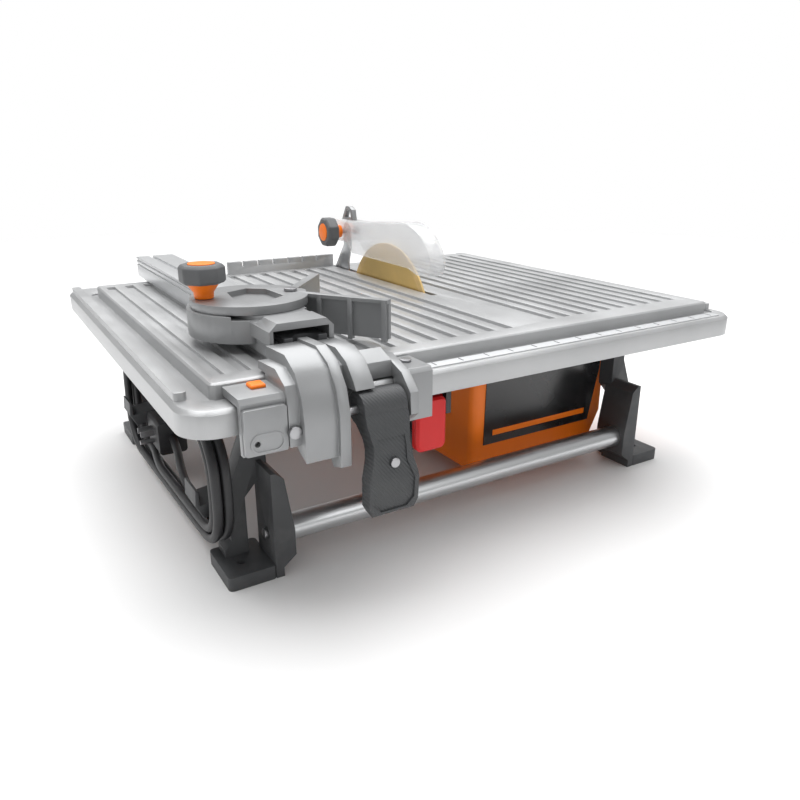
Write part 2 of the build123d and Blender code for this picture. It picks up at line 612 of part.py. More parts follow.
def make_blade_guard():
    """The clear guard: two cheeks and a rounded roof, open underneath and behind."""
    cavity_w = GUARD_W - 2 * GUARD_T
    with BuildPart() as blade_guard:
        for inset, width, mode in ((0.0, GUARD_W, Mode.ADD), (GUARD_T, cavity_w, Mode.SUBTRACT)):
            nose, brow, crown, shoulder = guard_profile(inset)
            low = GUARD_LOW_Z - 2.0 * inset
            back_top = 243.0 - inset
            heel = 217.0 - 3.0 * inset
            with BuildSketch(in_side_plane(BLADE_X - width / 2)):
                with BuildLine():
                    ThreePointArc(nose, brow, crown)
                    Line(crown, shoulder)
                    Line(shoulder, (FRONT + 374, back_top))
                    Line((FRONT + 374, back_top), (FRONT + 413 + 4 * inset, back_top))
                    Line((FRONT + 413 + 4 * inset, back_top), (FRONT + 421 + 4 * inset, 236))
                    Line((FRONT + 421 + 4 * inset, 236), (FRONT + 421 + 4 * inset, heel))
                    Line((FRONT + 421 + 4 * inset, heel), (FRONT + 384, heel))
                    Line((FRONT + 384, heel), (FRONT + 370, 205))
                    Line((FRONT + 370, 205), (FRONT + 240, low))
                    Line((FRONT + 240, low), (FRONT + 220, low - 5.0))
                    Line((FRONT + 220, low - 5.0), (FRONT + 200 + inset, low - 4.0))
                    Line((FRONT + 200 + inset, low - 4.0), nose)
                make_face()
            extrude(amount=width, mode=mode)
        with BuildSketch(in_side_plane(BLADE_X - GUARD_W / 2)):
            with Locations((GUARD_PIVOT_Y, GUARD_PIVOT_Z)):
                Circle(PIN_D / 2)
        extrude(amount=GUARD_W, mode=Mode.SUBTRACT)
    save(blade_guard, "blade_guard")


def make_guard_loop():
    """The small lifting loop on top of the guard, above its pivot."""
    with BuildPart() as guard_loop:
        with BuildSketch(in_side_plane(BLADE_X - 3.0)):
            with BuildLine():
                Polyline((FRONT + 378, 243), (FRONT + 381, 256), (FRONT + 388, 259.5), (FRONT + 397, 259.5),
                         (FRONT + 408, 243), close=True)
            make_face()
            with BuildLine():
                Polyline((FRONT + 384, 246), (FRONT + 386, 254), (FRONT + 390, 256), (FRONT + 394, 256),
                         (FRONT + 400, 246), close=True)
            make_face(mode=Mode.SUBTRACT)
        extrude(amount=6.0)
    save(guard_loop, "guard_loop")


def make_guard_pin():
    """The screw that pins the guard to the knife; the knob turns on its left end."""
    with BuildPart() as guard_pin:
        with BuildSketch(in_side_plane(BLADE_X - GUARD_W / 2 - PIN_REACH)):
            with Locations((GUARD_PIVOT_Y, GUARD_PIVOT_Z)):
                Circle(PIN_D / 2 - 0.05)
        extrude(amount=GUARD_W + PIN_REACH + 0.3)
        with BuildSketch(in_side_plane(BLADE_X + GUARD_W / 2 + 0.3)):
            with Locations((GUARD_PIVOT_Y, GUARD_PIVOT_Z)):
                Circle(5.5)
        extrude(amount=4.0)
    save(guard_pin, "guard_pin")


KNOB_R, KNOB_H, CAP_R, CAP_T = 17.0, 15.0, 10.5, 1.6


def make_knob(base, neck_h, hole_r, prefix):
    """A clamp knob: a flared neck, an eight-sided grip and a cap let into its end."""
    with BuildPart() as neck:
        with BuildSketch(base):
            Circle(7.5)
        with BuildSketch(base.offset(neck_h * 0.4)):
            Circle(8.0)
        with BuildSketch(base.offset(neck_h)):
            Circle(13.0)
        loft(ruled=True)
        with BuildSketch(base):
            Circle(hole_r)
        extrude(amount=neck_h, mode=Mode.SUBTRACT)
    save(neck, f"{prefix}_neck")
    with BuildPart() as grip:
        with BuildSketch(base.offset(neck_h)):
            RegularPolygon(KNOB_R, 8, major_radius=False, rotation=22.5)
        extrude(amount=KNOB_H)
        corners = grip.edges().filter_by(GeomType.LINE).filter_by(lambda e: abs(e.length - KNOB_H) < 0.01)
        fillet(corners, radius=3.5)
        chamfer(grip.faces().sort_by(Axis(base.origin, base.z_dir))[-1].edges(), length=2.4)
        chamfer(grip.faces().sort_by(Axis(base.origin, base.z_dir))[0].edges(), length=2.0)
        with BuildSketch(base.offset(neck_h + KNOB_H - CAP_T)):
            Circle(CAP_R)
        extrude(amount=CAP_T, mode=Mode.SUBTRACT)
        with BuildSketch(base.offset(neck_h)):
            Circle(hole_r)
        extrude(amount=8.0, mode=Mode.SUBTRACT)
    save(grip, f"{prefix}_grip")
    with BuildPart() as cap:
        with BuildSketch(base.offset(neck_h + KNOB_H - CAP_T)):
            Circle(CAP_R)
        extrude(amount=CAP_T + 0.6)
    save(cap, f"{prefix}_cap")


# ---- Switch -------------------------------------------------------------------------------------
SWITCH_X, SWITCH_W, SWITCH_Z0, SWITCH_Z1 = -74.0, 29.0, 91.0, 137.0
SWITCH_Y = FRONT + 26.0
SWITCH_PIVOT_Y, SWITCH_PIVOT_Z = FRONT + 36.0, 134.0


def make_switch():
    """The stop paddle and the box behind it, which hangs under the table."""
    box_y0, box_y1 = FRONT + 46.0, FRONT + 92.0
    with BuildPart() as switch_box:
        with Locations((SWITCH_X, (box_y0 + box_y1) / 2, (86.0 + HOUSING_TOP) / 2)):
            Box(44.0, box_y1 - box_y0, HOUSING_TOP - 86.0)
        for side in (-1, 1):
            with Locations((SWITCH_X + side * (SWITCH_W / 2 + 3.5), FRONT + 38.0, 138.0)):
                Box(5.0, 18.0, 36.0)
            with BuildSketch(in_side_plane(SWITCH_X + side * (SWITCH_W / 2 + 3.5) - 2.5)):
                with Locations((SWITCH_PIVOT_Y, SWITCH_PIVOT_Z)):
                    Circle(2.0)
            extrude(amount=5.0, mode=Mode.SUBTRACT)
    save(switch_box, "switch_box")
    with BuildPart() as switch_paddle:
        with BuildSketch(in_front_plane(SWITCH_Y + 8.0)):
            with Locations((SWITCH_X, (SWITCH_Z0 + SWITCH_Z1) / 2)):
                RectangleRounded(SWITCH_W, SWITCH_Z1 - SWITCH_Z0, 6.0)
        extrude(amount=8.0)
        chamfer(switch_paddle.faces().sort_by(Axis.Y)[0].edges(), length=2.0)
        with BuildSketch(in_side_plane(SWITCH_X - SWITCH_W / 2 - 5.0)):
            with Locations((SWITCH_PIVOT_Y, SWITCH_PIVOT_Z)):
                Circle(1.95)
        extrude(amount=SWITCH_W + 10.0)
        with Locations((SWITCH_X, SWITCH_Y + 9.0, SWITCH_PIVOT_Z)):
            Box(SWITCH_W - 4.0, 4.0, 4.5)
    save(switch_paddle, "switch_paddle")
    with BuildPart() as switch_button:
        with BuildSketch(in_front_plane(box_y0)):
            with Locations((SWITCH_X, 112.0)):
                RectangleRounded(16.0, 20.0, 3.0)
        extrude(amount=5.0)
    save(switch_button, "switch_button")


# ---- Rip fence ----------------------------------------------------------------------------------
def make_fence_bar():
    """The hollow fence extrusion, with a slot along its top and a stepped left face."""
    width, height = BAR_RIGHT - BAR_LEFT, BAR_TOP - BAR_BOTTOM
    mid = (BAR_LEFT + BAR_RIGHT) / 2
    sleeve_end = FRONT + 72.0
    with BuildPart() as fence_bar:
        with BuildSketch(in_front_plane(BAR_BACK)):
            with Locations((mid, (BAR_BOTTOM + BAR_TOP) / 2)):
                Rectangle(width, height)
                Rectangle(width - 5.0, height - 8.0, mode=Mode.SUBTRACT)
            with Locations((BAR_LEFT + 17.0, BAR_TOP - 1.2)):
                Rectangle(5.0, 2.4, mode=Mode.SUBTRACT)
            with Locations((BAR_LEFT + 0.6, BAR_TOP - 3.0), (BAR_LEFT + 0.6, BAR_TOP - 8.0)):
                Rectangle(1.2, 1.6, mode=Mode.SUBTRACT)
        extrude(amount=BAR_BACK - BAR_FRONT)
        with Locations((mid, (BAR_FRONT + sleeve_end) / 2, BAR_BOTTOM + 12 + height / 2)):
            Box(width + 2, sleeve_end - BAR_FRONT, height, mode=Mode.SUBTRACT)
        with Locations((mid, (BAR_FRONT + sleeve_end) / 2, BAR_BOTTOM + 10)):
            Box(width, sleeve_end - BAR_FRONT, 4.0)
    save(fence_bar, "fence_bar")
    with BuildPart() as fence_feet:
        for x in (BAR_LEFT + 5.0, BAR_RIGHT - 5.0):
            for y in (BAR_BACK - 22.0, BAR_BACK - 66.0, BAR_FRONT + 52.0):
                with Locations((x, y, (DECK_TOP + BAR_BOTTOM) / 2 + 0.25)):
                    Box(6.0, 14.0, BAR_BOTTOM - DECK_TOP - 0.5)
    save(fence_feet, "fence_feet")


HEAD_LEFT, HEAD_MID, HEAD_RIGHT = -215.0, -175.0, -120.0
BAND_X0, BAND_X1, WING_LEFT, WING_RIGHT = -167.0, -152.0, -246.0, -98.0


def make_fence_head():
    """The cast head at the front of the fence: it hooks over the table's rim and carries the lever."""
    def y(distance):
        return FRONT + distance
    body = [(y(41.5), 182), (y(41.5), 196.5), (y(8), 198), (y(-9), 189), (y(-18), 173), (y(-21), 156),
            (y(-21), 129), (y(-9), 134), (y(-0.6), 142), (y(-0.6), 171.5), (y(25), 171.5), (y(25), 182)]
    facet = [(y(38), 182), (y(38), 188), (y(6), 190), (y(-9), 182), (y(-13), 172), (y(-14), 140),
             (y(-0.6), 142), (y(-0.6), 171.5), (y(25), 171.5), (y(25), 182)]
    flange = [(y(41.5), 182), (y(41.5), 199), (y(10), 200.5), (y(-8), 193), (y(-20), 178), (y(-25), 160),
              (y(-25), 122), (y(-12), 118), (y(-0.6), 134), (y(-0.6), 171.5), (y(25), 171.5), (y(25), 182)]
    bridge = [(y(41.5), 182), (y(41.5), 193), (y(22), 194), (y(2), 186), (y(2), 171.5), (y(25), 171.5),
              (y(25), 182)]
    band = [(y(41.5), 182), (y(41.5), 195), (y(12), 196.5), (y(-4), 190), (y(-14), 179), (y(-18), 172.5),
            (y(-14), 172), (y(-2), 171.5), (y(25), 171.5), (y(25), 182)]
    shelf = [(y(25), 171.5), (y(25), 186), (y(18), 190), (y(2), 184), (y(2), 171.5)]
    cheek = [(y(25), 171.5), (y(25), 184), (y(12), 186), (y(-12), 178), (y(-24), 166), (y(-25), 150),
             (y(-16), 143), (y(-0.6), 146), (y(-0.6), 171.5)]
    wing = [(y(25), 171.5), (y(25), 177.5), (y(-6), 177.5), (y(-9), 174), (y(-9), 138), (y(-4), 138),
            (y(-4), 171.5)]
    sections = [(facet, HEAD_LEFT, HEAD_LEFT + 8), (body, HEAD_LEFT + 8, HEAD_MID - 8),
                (flange, HEAD_MID - 8, HEAD_MID), (bridge, HEAD_MID, BAND_X0), (band, BAND_X0, BAND_X1),
                (shelf, BAND_X1, LEVER_RIGHT + 1.0), (cheek, LEVER_RIGHT + 1.0, HEAD_RIGHT),
                (wing, WING_LEFT, HEAD_LEFT), (wing, HEAD_RIGHT, WING_RIGHT)]
    with BuildPart() as fence_head:
        for profile, x0, x1 in sections:
            with BuildSketch(in_side_plane(x0)):
                with BuildLine():
                    Polyline(*profile, close=True)
                make_face()
            extrude(amount=x1 - x0)
        with BuildSketch(in_side_plane(HEAD_MID - 8)):
            with Locations((LEVER_PIVOT_Y, LEVER_PIVOT_Z)):
                Circle(PIN_D / 2 + 0.05)
        extrude(amount=HEAD_RIGHT - HEAD_MID + 8, mode=Mode.SUBTRACT)
        fillet(fence_head.edges().filter_by(Axis.X).group_by(Axis.Z)[-1], radius=1.5)
    save(fence_head, "fence_head")


def make_fence_trim():
    """The dark front plate, the sight window, the tongue and the screws of the fence head."""
    with BuildPart() as fence_front_plate:
        with BuildSketch(in_front_plane(FRONT - 9.0)):
            with Locations((-230.5, 155)):
                RectangleRounded(30, 32, 2)
            with Locations((-237, 147)):
                Circle(2.0, mode=Mode.SUBTRACT)
        extrude(amount=4.0)
        with BuildSketch(in_front_plane(FRONT - 13.0)):
            with Locations((-230, 147)):
                SlotOverall(24, 14)
                SlotOverall(21, 11, mode=Mode.SUBTRACT)
        extrude(amount=0.8)
    save(fence_front_plate, "fence_front_plate")
    with BuildPart() as fence_window:
        with BuildSketch(Plane.XY.offset(177.5)):
            with Locations((-226, FRONT + 14)):
                RectangleRounded(11, 11, 1.5)
        extrude(amount=2.6)
        chamfer(fence_window.faces().sort_by(Axis.Z)[-1].edges(), length=1.0)
    save(fence_window, "fence_window")
    with BuildPart() as fence_tongue:
        with BuildSketch(Plane.XY.offset(BAR_BOTTOM + 12.0)):
            with Locations(((BAR_LEFT + BAR_RIGHT) / 2 + 3, FRONT + 57.0)):
                Rectangle(34.0, 30.0)
                with Locations((0, -15.0)):
                    Circle(10.0, mode=Mode.SUBTRACT)
        extrude(amount=5.0)
    save(fence_tongue, "fence_tongue")
    with BuildPart() as fence_screws:
        for x, z, y0 in ((-211.6, 151.0, FRONT - 14.0),):
            with BuildSketch(in_front_plane(y0)):
                with Locations((x, z)):
                    Circle(4.5)
            extrude(amount=3.0)
        with BuildSketch(Plane.XY.offset(177.5)):
            with Locations((-109, FRONT + 12)):
                Circle(4.5)
        extrude(amount=2.0)
    save(fence_screws, "fence_screws")


def make_lock_lever():
    """The moulded lever that cams the fence head tight: a hub, a waist and a wide dished grip."""
    def y(distance):
        return FRONT + distance
    mid = (LEVER_LEFT + LEVER_RIGHT) / 2
    hub_w, waist_w, grip_w, end_w = 17.0, 14.5, 20.0, 14.0
    outline = [(hub_w, 172), (hub_w, 150), (waist_w, 136), (waist_w + 1.5, 124), (grip_w, 110), (grip_w, 90),
               (end_w, 79)]
    dish_rim, dish_depth = 3.5, 1.4
    dish_outline = [(waist_w - dish_rim, 140), (waist_w - dish_rim, 122), (grip_w - dish_rim, 108),
                    (grip_w - dish_rim, 92), (end_w - dish_rim, 86)]
    dish_side = [(y(-48), 84), (y(-36 + dish_depth), 84), (y(-38 + dish_depth), 108), (y(-35 + dish_depth), 132),
                 (y(-30), 148), (y(-48), 148)]
    with BuildPart() as dish:
        with BuildSketch(in_side_plane(LEVER_LEFT)):
            with BuildLine():
                Polyline(*dish_side, close=True)
            make_face()
        extrude(amount=LEVER_RIGHT - LEVER_LEFT)
        with BuildSketch(in_front_plane(FRONT)):
            with BuildLine():
                Polyline(*[(mid - w, z) for w, z in dish_outline], *[(mid + w, z) for w, z in dish_outline[::-1]],
                         close=True)
            make_face()
        extrude(amount=60.0, mode=Mode.INTERSECT)
    arm = [(y(-20), 168), (y(-28), 155), (y(-35), 132), (y(-38), 108), (y(-36), 84), (y(-30), 80),
           (y(-25), 84), (y(-26), 108), (y(-22), 130), (y(-10), 148)]
    with BuildPart() as lock_lever:
        with BuildSketch(in_side_plane(LEVER_LEFT)):
            with BuildLine():
                Polyline(*arm, close=True)
            make_face()
            with Locations((LEVER_PIVOT_Y, LEVER_PIVOT_Z)):
                Circle(12.5)
                Circle(PIN_D / 2 + 0.05, mode=Mode.SUBTRACT)
        extrude(amount=LEVER_RIGHT - LEVER_LEFT)
        with BuildSketch(in_front_plane(FRONT)):
            with BuildLine():
                Polyline(*[(mid - w, z) for w, z in outline], *[(mid + w, z) for w, z in outline[::-1]],
                         close=True)
            make_face()
        extrude(amount=60.0, mode=Mode.INTERSECT)
        add(dish.part, mode=Mode.SUBTRACT)
        with BuildSketch(in_front_plane(LEVER_SCREW_Y)):
            with Locations((LEVER_SCREW_X, LEVER_SCREW_Z)):
                Circle(LEVER_SCREW_R + 0.3)
        extrude(amount=2 * LEVER_SCREW_R, mode=Mode.SUBTRACT)
    save(lock_lever, "lock_lever")
    with BuildPart() as lever_screw:
        with BuildSketch(in_front_plane(LEVER_SCREW_Y)):
            with Locations((LEVER_SCREW_X, LEVER_SCREW_Z)):
                Circle(LEVER_SCREW_R)
        extrude(amount=2.6)
    save(lever_screw, "lever_screw")
    with BuildPart() as lever_pin:
        with BuildSketch(in_side_plane(HEAD_MID - 8)):
            with Locations((LEVER_PIVOT_Y, LEVER_PIVOT_Z)):
                Circle(PIN_D / 2)
        extrude(amount=HEAD_RIGHT - HEAD_MID + 8)
    save(lever_pin, "lever_pin")


# ---- Miter guide --------------------------------------------------------------------------------
BASE_BOTTOM, BASE_TOP = 188.0, 209.0
HEAD_TOP, WING_BOTTOM = 216.0, 184.0
DISC_X, DISC_Y, DISC_R = -186.0, FRONT + 128.0, 50.0
GAP = 0.4
PIVOT_BOSS_R, PIVOT_HOLE_R = 10.0, 3.05


def make_miter_base():
    """The slide that straddles the fence bar: a round base and a sleeve that reaches forward."""
    sleeve_x0, sleeve_x1 = BAR_LEFT - 3.5, BAR_RIGHT + 4.5
    sleeve_top, sleeve_bevel = 211.0, 6.0
    sleeve = [(sleeve_x0, 194.5), (sleeve_x0, sleeve_top - sleeve_bevel), (sleeve_x0 + sleeve_bevel, sleeve_top),
              (sleeve_x1 - sleeve_bevel, sleeve_top), (sleeve_x1, sleeve_top - sleeve_bevel), (sleeve_x1, 194.5)]
    sleeve_front, sleeve_back, sleeve_top_back = FRONT + 42.5, FRONT + 92.0, FRONT + 68.0
    with BuildPart() as miter_base:
        with BuildSketch(Plane.XY.offset(BASE_BOTTOM)):
            with Locations((DISC_X, DISC_Y)):
                Circle(DISC_R)
        extrude(amount=BASE_TOP - BASE_BOTTOM)
        with BuildSketch(in_front_plane(sleeve_back)):
            with BuildLine():
                Polyline(*sleeve, close=True)
            make_face()
        extrude(amount=sleeve_back - sleeve_front)
        with BuildSketch(in_front_plane(DISC_Y + DISC_R)):
            with Locations(((BAR_LEFT + BAR_RIGHT) / 2, (BASE_BOTTOM + BAR_TOP + GAP) / 2)):
                Rectangle(BAR_RIGHT - BAR_LEFT + 2 * GAP, BAR_TOP + GAP - BASE_BOTTOM)
        extrude(amount=2 * DISC_R + 60.0, mode=Mode.SUBTRACT)
        with BuildSketch(Plane.XY.offset(BASE_TOP)):
            with Locations((DISC_X, (sleeve_top_back + BAR_BACK) / 2)):
                Rectangle(2 * DISC_R, BAR_BACK - sleeve_top_back)
        extrude(amount=10.0, mode=Mode.SUBTRACT)
        with BuildSketch(Plane.XY.offset(BASE_BOTTOM)):
            with Locations((sleeve_x1 + 30.0, DISC_Y)):
                Rectangle(60.0, 2 * DISC_R + 10.0)
        extrude(amount=BASE_TOP - BASE_BOTTOM, mode=Mode.SUBTRACT)
        with BuildSketch(Plane.XY.offset(BASE_BOTTOM)):
            with Locations((PIVOT_X, PIVOT_Y)):
                Circle(PIVOT_BOSS_R)
            with Locations((sleeve_x1 - 2.0, PIVOT_Y)):
                Rectangle(4.0, 2 * PIVOT_BOSS_R)
            with Locations((BAR_RIGHT + GAP - 20.0, PIVOT_Y)):
                Rectangle(40.0, 60.0, mode=Mode.SUBTRACT)
        extrude(amount=BASE_TOP - BASE_BOTTOM)
        with BuildSketch(Plane.XY.offset(BASE_TOP - 3.0)):
            with Locations((PIVOT_X, PIVOT_Y)):
                Circle(77.0)
                Circle(66.0, mode=Mode.SUBTRACT)
                Circle(PIVOT_HOLE_R)
        extrude(amount=3.0, mode=Mode.SUBTRACT)
    save(miter_base, "miter_base")


def make_miter_head():
    """The turning head: a plate with a pocket over the base and two ribbed wings that hold a corner."""
    plate_z = BASE_TOP + GAP
    wing_t, wing_root = 4.5, 14.0
    with BuildPart() as miter_head:
        with BuildSketch(Plane.XY.offset(plate_z)):
            with Locations((DISC_X, DISC_Y)):
                Circle(DISC_R - 3.0)
            with Locations((PIVOT_X, PIVOT_Y)):
                Circle(PIVOT_BOSS_R + 3.0)
            with BuildLine():
                Polyline((DISC_X + 12, DISC_Y - 44), (PIVOT_X + 8, PIVOT_Y - 10.5),
                         (PIVOT_X + 8, PIVOT_Y + 10.5), (DISC_X + 12, DISC_Y + 44), close=True)
            make_face()
        extrude(amount=HEAD_TOP - plate_z)
        with BuildSketch(Plane.XY.offset(HEAD_TOP - 4.5)):
            with BuildLine():
                Polyline((DISC_X - 16, DISC_Y - 8), (DISC_X - 12, DISC_Y + 20), (DISC_X + 8, DISC_Y + 29),
                         (DISC_X + 21, DISC_Y + 18), (DISC_X + 23, DISC_Y - 16), (DISC_X + 4, DISC_Y - 30),
                         (DISC_X - 10, DISC_Y - 26), close=True)
            make_face()
        extrude(amount=4.5, mode=Mode.SUBTRACT)
        for turn, wing_l in ((-55, 91.0), (50, 86.0)):
            wing_plane = Plane(origin=(PIVOT_X, PIVOT_Y, WING_BOTTOM), z_dir=(0, 0, 1),
                               x_dir=(cos(radians(turn)), sin(radians(turn)), 0))
            with BuildSketch(wing_plane):
                with Locations((wing_root + (wing_l - wing_root) / 2, 0)):
                    Rectangle(wing_l - wing_root, wing_t)
            extrude(amount=HEAD_TOP - WING_BOTTOM)
            with BuildSketch(wing_plane.offset(-2.0)):
                for along in (wing_root + 16.0, wing_root + 44.0, wing_l - 3.0):
                    with Locations((along, (1 if turn > 0 else -1) * (wing_t / 2 + 1.2))):
                        Rectangle(4.0, 4.6)
            extrude(amount=HEAD_TOP - WING_BOTTOM + 2.0)
            with BuildSketch(wing_plane.offset(HEAD_TOP - WING_BOTTOM - 3.0)):
                with Locations((wing_l / 2, (1 if turn > 0 else -1) * 1.5)):
                    Rectangle(wing_l, 7.5)
            extrude(amount=3.0)
        with BuildSketch(Plane.XY.offset(plate_z)):
            with Locations((PIVOT_X, PIVOT_Y), (KNOB_X, KNOB_Y)):
                Circle(PIVOT_HOLE_R)
        extrude(amount=HEAD_TOP - plate_z, mode=Mode.SUBTRACT)
    save(miter_head, "miter_head")
    with BuildPart() as miter_pivot:
        with BuildSketch(Plane.XY.offset(BASE_TOP - 3.0)):
            with Locations((PIVOT_X, PIVOT_Y)):
                Circle(3.0)
        extrude(amount=HEAD_TOP - BASE_TOP + 3.0 + 0.3)
        with BuildSketch(Plane.XY.offset(HEAD_TOP + 0.3)):
            with Locations((PIVOT_X, PIVOT_Y)):
                Circle(5.5)
        extrude(amount=2.2)
    save(miter_pivot, "miter_pivot")
    with BuildPart() as miter_stud:
        with BuildSketch(Plane.XY.offset(BASE_TOP - 2.8)):
            with Locations((KNOB_X, KNOB_Y)):
                Circle(3.0)
        extrude(amount=HEAD_TOP - BASE_TOP + 2.8 + 19.0)
    save(miter_stud, "miter_stud")


os.makedirs("parts", exist_ok=True)
make_table_top()
make_front_scale()
make_side_frame(-1, "left_side_frame")
make_side_frame(1, "right_side_frame")
make_tube(-TUBE_Y, "front_tube")
make_tube(TUBE_Y, "rear_tube")
make_tube_bolts()
make_tube_plugs()
make_frame_screws()
make_cord_hook(FRONT_HOOK_Y, -232.0, False, "cord_hook_front")
make_cord_hook(REAR_HOOK_Y, -228.0, True, "cord_hook_rear")
make_cord_coil()
make_cord_gland()
cord_tube(LEAD_ROUTE, "cord_lead")
cord_tube(TAIL_ROUTE, "cord_tail")
make_cord_plug()
make_blade_housing()
make_drain_plug()
make_splash_wall()
make_label_plate()
make_motor()
make_arbor()
make_riving_knife()
make_blade_guard()
make_guard_loop()
make_guard_pin()
make_knob(Plane(origin=(BLADE_X - GUARD_W / 2 - 0.3, GUARD_PIVOT_Y, GUARD_PIVOT_Z), x_dir=(0, 1, 0),
                z_dir=(-1, 0, 0)), 9.0, PIN_D / 2, "guard_knob")
make_switch()
make_fence_bar()
make_fence_head()
make_fence_trim()
make_lock_lever()
make_miter_base()
make_miter_head()
make_knob(Plane(origin=(KNOB_X, KNOB_Y, HEAD_TOP + 0.3), x_dir=(1, 0, 0), z_dir=(0, 0, 1)), 12.0, 3.0,
          "miter_knob")
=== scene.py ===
import json
from math import atan2, cos, pi, radians, sin, tan

import bmesh
import bpy
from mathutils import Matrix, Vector


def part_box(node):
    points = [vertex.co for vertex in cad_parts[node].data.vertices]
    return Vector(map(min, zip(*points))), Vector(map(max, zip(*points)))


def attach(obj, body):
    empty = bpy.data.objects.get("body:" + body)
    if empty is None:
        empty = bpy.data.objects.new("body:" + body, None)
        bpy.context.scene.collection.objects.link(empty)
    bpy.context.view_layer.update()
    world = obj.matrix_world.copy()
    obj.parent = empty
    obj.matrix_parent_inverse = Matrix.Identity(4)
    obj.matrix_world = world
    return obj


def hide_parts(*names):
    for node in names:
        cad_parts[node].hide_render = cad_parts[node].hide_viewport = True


# Looks of a table-top wet tile cutter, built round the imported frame. Metres, +Z up, +Y to the back.

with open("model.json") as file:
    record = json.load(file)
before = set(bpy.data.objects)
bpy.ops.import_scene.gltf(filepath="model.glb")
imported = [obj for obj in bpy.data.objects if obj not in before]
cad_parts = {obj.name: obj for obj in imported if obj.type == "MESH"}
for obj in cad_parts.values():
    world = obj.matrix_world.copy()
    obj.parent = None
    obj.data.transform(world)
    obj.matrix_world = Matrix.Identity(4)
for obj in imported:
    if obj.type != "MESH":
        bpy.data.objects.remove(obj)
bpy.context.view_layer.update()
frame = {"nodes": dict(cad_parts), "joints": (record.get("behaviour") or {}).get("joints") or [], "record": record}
NODES = frame["nodes"]
SLOT_OF = {part["node"]: part["material_slot"] for part in frame["record"]["subparts"]}
BODIES = frame["record"]["behaviour"]["bodies"]
BODY_OF = {node: body for body, members in BODIES.items() for node in members}
JOINT = {joint["name"]: joint for joint in frame["joints"]}
MM = 0.001


# ---- Camera -------------------------------------------------------------------------------------
CAMERA_PLACE = (-0.3804, -0.6720, 0.3290)
CAMERA_DOWN, CAMERA_RIGHT = 19.557, 31.458
LENS_MM, SENSOR_MM = 32.04, 36.0


def make_camera():
    """The eye stands to the left of the front, a little above the table."""
    data = bpy.data.cameras.new("camera")
    data.lens = LENS_MM
    data.sensor_width = SENSOR_MM
    camera = bpy.data.objects.new("camera", data)
    camera.location = CAMERA_PLACE
    camera.rotation_euler = (radians(90 - CAMERA_DOWN), 0.0, radians(-CAMERA_RIGHT))
    bpy.context.scene.collection.objects.link(camera)
    bpy.context.scene.camera = camera


# ---- Materials ----------------------------------------------------------------------------------
class Nodes:
    """Short names for building one material's node tree."""

    def __init__(self, name):
        self.material = bpy.data.materials.new(name)
        self.material.use_nodes = True
        self.tree = self.material.node_tree
        self.shader = self.tree.nodes["Principled BSDF"]

    def add(self, kind, **settings):
        node = self.tree.nodes.new(kind)
        for key, value in settings.items():
            setattr(node, key, value)
        return node

    def link(self, source, target):
        self.tree.links.new(source, target)

    def place(self, scale=(1, 1, 1), move=(0, 0, 0), turn=(0, 0, 0)):
        """Object coordinates, moved, turned and stretched."""
        coordinates = self.add("ShaderNodeTexCoord")
        mapping = self.add("ShaderNodeMapping")
        mapping.inputs["Location"].default_value = move
        mapping.inputs["Rotation"].default_value = turn
        mapping.inputs["Scale"].default_value = scale
        self.link(coordinates.outputs["Object"], mapping.inputs["Vector"])
        return mapping.outputs["Vector"]

    def noise(self, scale, stretch=(1, 1, 1), detail=4.0):
        node = self.add("ShaderNodeTexNoise")
        node.inputs["Scale"].default_value = scale
        node.inputs["Detail"].default_value = detail
        self.link(self.place(stretch), node.inputs["Vector"])
        return node.outputs["Fac"]

    def spread(self, source, low, high, start=0.3, end=0.7):
        """source, from start to end, mapped to low to high."""
        node = self.add("ShaderNodeMapRange")
        node.inputs["From Min"].default_value = start
        node.inputs["From Max"].default_value = end
        node.inputs["To Min"].default_value = low
        node.inputs["To Max"].default_value = high
        self.link(source, node.inputs["Value"])
        return node.outputs["Result"]

    def blend(self, factor, first, second):
        """A colour between two, by factor. Each is a colour or another node's output."""
        node = self.add("ShaderNodeMix", data_type="RGBA")
        self.link(factor, node.inputs["Factor"])
        for value, socket in ((first, node.inputs[6]), (second, node.inputs[7])):
            if isinstance(value, tuple):
                socket.default_value = (*value, 1.0)
            else:
                self.link(value, socket)
        return node.outputs[2]

    def bump(self, height, strength, distance, below=None):
        node = self.add("ShaderNodeBump")
        node.inputs["Strength"].default_value = strength
        node.inputs["Distance"].default_value = distance
        self.link(height, node.inputs["Height"])
        if below is not None:
            self.link(below, node.inputs["Normal"])
        return node.outputs["Normal"]


def finish(name, colour, rough=0.5, metal=0.0, vary=0.12, grain=900.0, depth=0.15, stretch=(1, 1, 1),
           coat=0.0, dust=None):
    """A painted, moulded or machined finish: mottled colour, uneven roughness and a fine grain."""
    n = Nodes(name)
    dark = tuple(channel * (1 - vary) for channel in colour)
    light = tuple(min(1.0, channel * (1 + vary)) for channel in colour)
    broad = n.noise(14.0, stretch)
    fine = n.noise(grain, stretch, detail=2.0)
    base = n.blend(n.spread(broad, 0.0, 1.0), dark, light)
    if dust is not None:
        base = n.blend(n.spread(n.noise(45.0), 0.0, 0.22, 0.5, 0.75), base, dust)
    n.link(base, n.shader.inputs["Base Color"])
    n.link(n.spread(broad, rough - 0.05, rough + 0.07), n.shader.inputs["Roughness"])
    n.link(n.bump(fine, depth, 0.0004), n.shader.inputs["Normal"])
    n.shader.inputs["Metallic"].default_value = metal
    n.shader.inputs["Coat Weight"].default_value = coat
    n.shader.inputs["Coat Roughness"].default_value = 0.2
    return n


